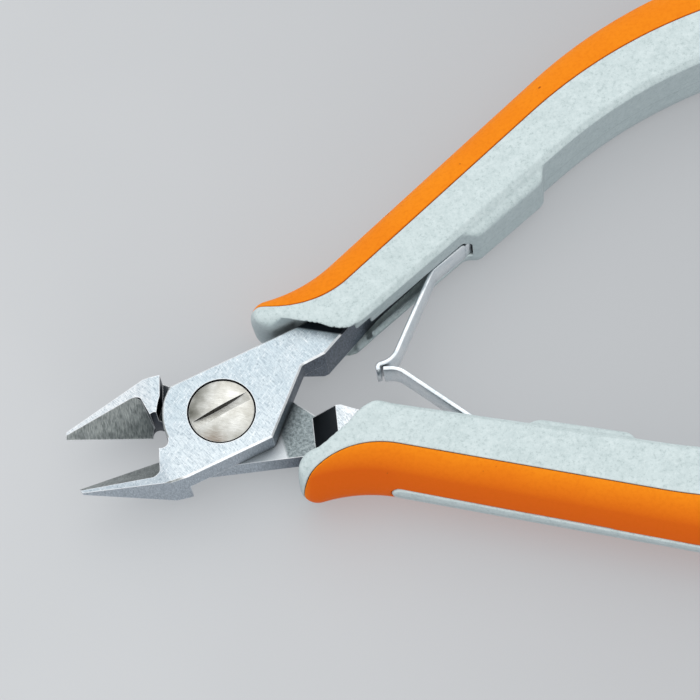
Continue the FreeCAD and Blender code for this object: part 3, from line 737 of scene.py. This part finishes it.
def with_painted_light(n, body, normal, walls):
    """Painted highlights on the edges, then painted shade under the grips' noses, between the walls and in
    every crevice.
    """
    nose_shadow = n.together(n.remap(n.behind_nose(), 0.55, 0.8), n.remap(normal["Z"], 0.4, 0.6))
    # painted highlight along the edges
    body = n.mix(n.together(n.edges(0.2), 0.9), body, colour(0.97, 0.98, 0.99))
    # painted shadow under the grips' noses, painted shade between the walls and in crevices
    body = n.mix(nose_shadow, body, colour(0.02, 0.024, 0.03))
    body = n.mix(n.together(walls, n.crevices(2.6, 0.3, 0.62)), body, colour(0.02, 0.025, 0.032))
    return n.mix(n.crevices(1.3, 0.2, 0.66), body, colour(0.012, 0.016, 0.022))


def steel_material():
    """Ground tool steel: brushed faces, rubbed lap, ground bevels, walls and the dark ramps of the tangs,
    with painted highlights and painted shade.
    """
    n = Nodes("ground_steel")
    patches = n.noise(0.35, 4.0, 0.6)
    grain = n.noise((1.5, 8.0, 2.0), 4.0, 0.7, turn=62)
    speck = n.noise(2.6, 5.0, 0.8)
    normal = n.normal()
    place = n.where()
    throat_shade = n.remap(place["X"], -4, -5.5)
    slanted = n.together(n.remap(normal["Z"], 0.88, 0.82), n.remap(normal["Z"], 0.40, 0.46))
    walls = n.remap(normal["Z"], 0.4, 0.2)
    shaded_ramp = n.together(slanted, n.remap(normal["X"], -0.4, -0.55), n.remap(place["X"], 8, 9))
    body = brushed_faces_and_highlights(n, place, patches, grain, speck)
    body = with_lap(n, body, place, normal, throat_shade, speck)
    body = with_bevels(n, body, place, slanted, patches)
    body = with_walls(n, body, place, walls, throat_shade, grain)
    # painted shade: the tangs' ramps near black
    body = n.mix(shaded_ramp, body, colour(0.045, 0.052, 0.06))
    body = with_painted_light(n, body, normal, walls)
    return n.finish(Base_Color=body, Metallic=1.0, Roughness=n.remap(patches, 0.3, 0.7, 0.36, 0.5))


def screw_material():
    """Polished screw: warm silver with faint streaks; painted shade darkens its left side, the slot's far
    wall and its gaps, a painted brown reflection lies towards its front, and painted highlights run along
    its edges.
    """
    n = Nodes("polished_screw")
    streaks = n.noise((1.2, 14.0, 1.2), 3.0, 0.6, turn=30)
    cloud = n.noise(0.5, 3.0, 0.5)
    place = n.where()
    normal = n.normal()
    leftness = n.math("SUBTRACT", n.math("MULTIPLY", place["Y"], 0.6), place["X"])
    left = n.together(n.remap(leftness, 1.0, 3.8), n.remap(cloud, 0.3, 0.6, 1.0, 0.6))
    brown_reflection = n.together(n.remap(place["Y"], -1.6, -3.4), n.remap(place["X"], 0, -1.5),
                       n.remap(streaks, 0.4, 0.6, 0.3, 0.9))
    far_wall_shade = n.together(n.remap(normal["Y"], -0.4, -0.7), n.remap(normal["Z"], 0.6, 0.4))
    body = n.mix(n.remap(cloud, 0.35, 0.65), colour(0.50, 0.49, 0.44), colour(0.82, 0.82, 0.78))
    body = n.mix(n.remap(streaks, 0.45, 0.75, 0.0, 0.5), body, colour(0.40, 0.38, 0.33))
    # painted shade on the left side, painted brown reflection towards the front
    body = n.mix(left, body, colour(0.13, 0.13, 0.11))
    body = n.mix(brown_reflection, body, colour(0.26, 0.18, 0.13))
    # painted highlight on the edges, painted shade on the slot's far wall and in the gaps
    body = n.mix(n.edges(0.1), body, colour(0.95, 0.95, 0.93))
    body = n.mix(far_wall_shade, body, colour(0.03, 0.028, 0.025))
    body = n.mix(n.crevices(0.9, 0.15, 0.6), body, colour(0.03, 0.03, 0.03))
    n.bump(streaks, 0.006)
    return n.finish(Base_Color=body, Metallic=1.0, Roughness=n.remap(streaks, 0.3, 0.7, 0.22, 0.34))


def spring_material():
    """Bright rolled strip with light scuffs, painted highlights on its edges and painted shade in its gaps.
    """
    n = Nodes("rolled_spring_steel")
    scuffs = n.noise((2.5, 2.5, 9.0), 4.0, 0.65)
    cloud = n.noise(0.6, 3.0, 0.5)
    body = n.mix(n.remap(cloud, 0.35, 0.65), colour(0.80, 0.86, 0.90), colour(0.93, 0.96, 0.98))
    body = n.mix(n.remap(scuffs, 0.5, 0.8, 0.0, 0.5), body, colour(0.42, 0.48, 0.54))
    # painted highlight on the edges, painted shade in the gaps
    body = n.mix(n.edges(0.1), body, colour(0.97, 0.98, 0.98))
    body = n.mix(n.crevices(0.8, 0.1, 0.5), body, colour(0.05, 0.05, 0.06))
    roughness = n.remap(scuffs, 0.3, 0.7, 0.25, 0.42)
    n.bump(scuffs, 0.01)
    return n.finish(Base_Color=body, Metallic=1.0, Roughness=roughness)


def plastic_material():
    """Light grey moulded plastic: fine speckle, eroded texture, a faint parting line; painted shade darkens
    the walls and crevices, and painted highlights lie on the edges.
    """
    n = Nodes("speckled_plastic")
    fine = n.noise(2.6, 4.0, 0.7)
    coarse = n.noise(0.8, 3.0, 0.6)
    body = n.mix(n.remap(coarse, 0.3, 0.7), colour(0.60, 0.70, 0.70), colour(0.70, 0.80, 0.80))
    body = n.mix(n.remap(fine, 0.52, 0.7, 0.0, 0.6), body, colour(0.38, 0.47, 0.47))
    body = n.mix(n.remap(fine, 0.45, 0.3, 0.0, 0.6), body, colour(0.80, 0.88, 0.88))
    # painted shade: walls darker than the top faces
    body = n.mix(n.remap(n.normal()["Z"], 0.5, 0.1, 0.0, 0.5), body, colour(0.28, 0.34, 0.37))
    body = n.mix(n.remap(n.off_lap(), 0.07, 0.02, 0.0, 0.35), body, colour(0.2, 0.24, 0.25))
    # painted highlight on the edges, painted shade in crevices
    body = n.mix(n.together(n.edges(0.15), 0.25), body, colour(0.85, 0.90, 0.90))
    body = n.mix(n.crevices(1.5, 0.1, 0.55), body, colour(0.05, 0.06, 0.07))
    n.bump(n.noise(5.0, 3.0, 0.6), 0.03)
    return n.finish(Base_Color=body, Roughness=n.remap(fine, 0.3, 0.7, 0.42, 0.58))


def soft_material():
    """Soft orange overmould: painted shade deepens it on its front side; faint mottling, a few tiny specks.
    """
    n = Nodes("soft_orange_overmould")
    cloud = n.noise(0.12, 3.0, 0.5)
    mottle = n.noise(2.2, 4.0, 0.6)
    specks = n.noise(1.1, 1.0, 0.3)
    body = n.mix(n.remap(cloud, 0.3, 0.7), colour(0.95, 0.25, 0.002), colour(1.0, 0.29, 0.003))
    # painted shade: deeper orange on the sides facing the front
    front = n.remap(n.normal()["Y"], -0.1, -0.8)
    body = n.mix(front, body, colour(0.76, 0.125, 0.002))
    body = n.mix(n.remap(mottle, 0.45, 0.75, 0.0, 0.3), body, colour(0.70, 0.13, 0.002))
    body = n.mix(n.remap(specks, 0.79, 0.82), body, colour(0.36, 0.08, 0.005))
    n.bump(n.noise(4.0, 3.0, 0.6), 0.015)
    return n.finish(Base_Color=body, Roughness=n.remap(mottle, 0.3, 0.7, 0.55, 0.68),
                    Specular_IOR_Level=0.14)


def floor_material():
    """Pale board lit softly from below too, with painted shade making it a little darker towards the right
    of the picture.
    """
    n = Nodes("pale_floor")
    cloud = n.noise(0.02, 3.0, 0.5)
    body = n.mix(n.remap(cloud, 0.3, 0.7), colour(0.33, 0.335, 0.34), colour(0.36, 0.365, 0.37))
    # painted shade: the board darker towards the right
    across = n.remap(n.where()["X"], -30, 70)
    body = n.mix(across, body, colour(0.22, 0.223, 0.23))
    return n.finish(Base_Color=body, Roughness=0.9, Emission_Color=colour(0.29, 0.30, 0.31),
                    Emission_Strength=1.0)


PLASTIC = plastic_material()
SOFT = soft_material()
STEEL = steel_material()
SCREW = screw_material()
SPRING = spring_material()


# Handles


def handle_grid():
    """Grid rows along the handle, across it from the seam, and up: finer in front, at the seam and faces."""
    xs = spaced((6.6, 50.0, 0.25), (50.0, 120.5, 0.6))
    offsets = spaced((-13.0, -0.5, 0.25), (-0.5, 0.5, 0.1), (0.5, 13.0, 0.25))
    heights = spaced((-5.5, -3.0, 0.18), (-3.0, 3.0, 0.2), (3.0, 5.5, 0.18))
    return xs, offsets, heights


def make_handles():
    """The two mouldings of each handle, carved once and mirrored for half b."""
    xs, offsets, heights = handle_grid()
    for title, node, field, material, slot in (
        ("grip_shell", "grip", grip_field, PLASTIC, "grip_plastic"),
        ("soft_cover", "soft_inlay", inlay_field, SOFT, "soft_orange"),
    ):
        points, quads = carve(field, xs, offsets, heights, SEAM_CURVE.height)
        for letter, side in SIDES.items():
            faces = quads if side > 0 else quads[:, ::-1]
            piece = make_object(f"{title}_{letter}", to_world(points, side), faces, material)
            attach(piece, f"half_{letter}")
            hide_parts(f"{node}_{letter}")


# Leaf springs


def leaf_path(side):
    """The middle line of a leaf, from its foot in the pocket to its free end."""
    if side > 0:
        bend, ends = BEND_A, [KNEE_A, HOOK, LIP_END]
    else:
        bend, ends = BEND_B, [KNEE_B, TIP_B]
    corners = [FOOT[:2], (bend, height_on(FOOT, bend))]
    corners += [turned_about_pivot(*end, -OPEN_ANGLE) for end in ends]
    return rounded_path(corners, [BEND_ROUND, KNEE_ROUND, HOOK_ROUND], arc_points=14)


def resampled(path, step):
    """The same path with even steps."""
    lengths = np.concatenate(([0], np.cumsum(np.linalg.norm(np.diff(path, axis=0), axis=1))))
    places = np.linspace(0, lengths[-1], round(lengths[-1] / step) + 1)
    return np.stack([np.interp(places, lengths, path[:, axis]) for axis in range(2)], axis=1)


def strip_section(low, high, thick, radius, round_points=3):
    """A rounded rectangle: across the strip's thickness, and along Z between two heights."""
    points = []
    corners = ((1, 1), (-1, 1), (-1, -1), (1, -1))
    for quarter, (across, up) in enumerate(corners):
        centre = (across * (thick / 2 - radius), high - radius if up > 0 else low + radius)
        for share in np.linspace(0, 1, round_points):
            angle = math.pi / 2 * (quarter + share)
            points.append((centre[0] + radius * math.cos(angle), centre[1] + radius * math.sin(angle)))
    return np.array(points)


def swept_strip(path, low, high):
    """A closed strip along a path; low and high give its heights at each path point."""
    tangents = np.gradient(path, axis=0)
    tangents /= np.linalg.norm(tangents, axis=1)[:, None]
    normals = np.stack((-tangents[:, 1], tangents[:, 0]), axis=1)
    rings = []
    for place, normal, bottom, top in zip(path, normals, low, high):
        section = strip_section(bottom, top, LEAF_THICK, LEAF_EDGE_ROUND)
        plan = place + section[:, :1] * normal
        rings.append(np.column_stack((plan, section[:, 1])))
    size = len(rings[0])
    points = np.concatenate(rings)
    faces = []
    for ring in range(len(rings) - 1):
        for i in range(size):
            after = (i + 1) % size
            faces.append((ring * size + i, ring * size + after,
                          (ring + 1) * size + after, (ring + 1) * size + i))
    faces.append(tuple(range(size))[::-1])
    last = (len(rings) - 1) * size
    faces.append(tuple(last + i for i in range(size)))
    return points, faces


def make_leaf(letter, side):
    """One leaf: full height beyond the pocket, narrower at its foot, bending from the fold on."""
    path = resampled(leaf_path(side), LEAF_STEP)
    shoulder = np.clip((LEAF_TAB_END - path[:, 0]) / (LEAF_HALF - LEAF_TAB_HALF), 0, 1)
    half = LEAF_TAB_HALF + (LEAF_HALF - LEAF_TAB_HALF) * np.sqrt(1 - (1 - shoulder) ** 2)
    points, faces = swept_strip(path, -half, half)
    if side < 0:
        faces = [face[::-1] for face in faces]
    piece = make_object(f"spring_strip_{letter}", to_world(points, side), faces, SPRING)
    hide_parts(f"leaf_spring_{letter}")
    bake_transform(piece)


# Steel from the CAD


def dress_steel(node, material, edge_width):
    """Weld a CAD node's split vertices and round its edges; its mesh stays as it is."""
    piece = frame["nodes"][node]
    for slot in piece.material_slots:
        slot.material = material
    weld = piece.modifiers.new("weld", "WELD")
    weld.merge_threshold = 0.002 * MM
    bevel = piece.modifiers.new("edge_round", "BEVEL")
    bevel.limit_method = "ANGLE"
    bevel.angle_limit = math.radians(24)
    bevel.width = edge_width * MM
    bevel.segments = 2
    bevel.use_clamp_overlap = True
    bevel.harden_normals = False


# Stage


def make_floor():
    """A flat board just below the lowest point of the part."""
    size = 900 * MM
    level = CAD_BOX[0].z - 0.02 * MM
    corners = np.array([(x * size, y * size, level) for x, y in ((-1, -1), (1, -1), (1, 1), (-1, 1))])
    floor = make_object("floor", corners, [(0, 1, 2, 3)], floor_material())


def make_light(name, azimuth, elevation, distance, size, power, tint):
    """A square soft light aimed at a point just behind the joint; sizes in millimetres."""
    lamp = bpy.data.lights.new(name, "AREA")
    lamp.shape = "SQUARE"
    lamp.size = size * MM
    lamp.energy = power
    lamp.color = tint
    light = bpy.data.objects.new(name, lamp)
    bpy.context.scene.collection.objects.link(light)
    away = direction(azimuth, elevation)
    light.location = Vector((20 * MM, 0, 0)) + away * distance * MM
    light.rotation_mode = "QUATERNION"
    light.rotation_quaternion = away.to_track_quat("Z", "Y")


def direction(azimuth, elevation):
    """Unit vector towards a viewer; azimuth 0 looks along +Y."""
    a = math.radians(azimuth)
    e = math.radians(elevation)
    return Vector((math.sin(a) * math.cos(e), -math.cos(a) * math.cos(e), math.sin(e)))


def make_world():
    """A soft sky: brightest overhead and behind the tool, dimmer low down at the front."""
    world = bpy.data.worlds.new("studio")
    bpy.context.scene.world = world
    world.use_nodes = True
    tree = world.node_tree
    towards = tree.nodes.new("ShaderNodeTexCoord")
    level = tree.nodes.new("ShaderNodeVectorMath")
    level.operation = "DOT_PRODUCT"
    bright_side = (-0.30, 0.45, 0.84)
    level.inputs[1].default_value = bright_side
    glow = tree.nodes.new("ShaderNodeMapRange")
    facing_away, facing_it, dim, bright = -0.3, 1.0, 0.58, 1.08
    for socket, number in zip(glow.inputs[1:5], (facing_away, facing_it, dim, bright)):
        socket.default_value = number
    background = tree.nodes["Background"]
    background.inputs["Color"].default_value = colour(0.97, 0.985, 1.0)
    tree.links.new(towards.outputs["Generated"], level.inputs[0])
    tree.links.new(level.outputs["Value"], glow.inputs[0])
    tree.links.new(glow.outputs[0], background.inputs["Strength"])


def make_camera():
    """The photograph's view: azimuth, elevation, roll, distance and framing."""
    azimuth, elevation, roll = -5.79, 65.8, -10.84
    shift_right, shift_up, distance = 14.53, 8.24, 375.78
    back = direction(azimuth, elevation)
    level_right = Vector((0, 0, 1)).cross(back).normalized()
    level_up = back.cross(level_right)
    turn = math.radians(roll)
    right = level_right * math.cos(turn) + level_up * math.sin(turn)
    up = level_up * math.cos(turn) - level_right * math.sin(turn)
    place = right * shift_right + up * shift_up + back * distance + Vector((0, 0, LAP_Z))
    lens = bpy.data.cameras.new("photo_view")
    lens.sensor_width = 36.0
    lens.lens = 167.0
    lens.clip_start = 0.01
    lens.clip_end = 10.0
    camera = bpy.data.objects.new("photo_view", lens)
    bpy.context.scene.collection.objects.link(camera)
    turned = Matrix((right, up, back)).transposed().to_4x4()
    camera.matrix_world = Matrix.Translation(place * MM) @ turned
    bpy.context.scene.camera = camera


make_handles()
for letter, side in SIDES.items():
    make_leaf(letter, side)
    dress_steel(f"cutter_half_{letter}", STEEL, edge_width=0.11)
dress_steel("pivot_screw", SCREW, edge_width=0.04)
make_floor()
make_light("key", azimuth=150, elevation=55, distance=900, size=700, power=0.7, tint=(1.0, 0.99, 0.97))
make_light("front", azimuth=8, elevation=24, distance=900, size=300, power=0.7, tint=(1.0, 1.0, 1.0))
make_world()
make_camera()
bpy.context.scene.view_settings.view_transform = "Standard"
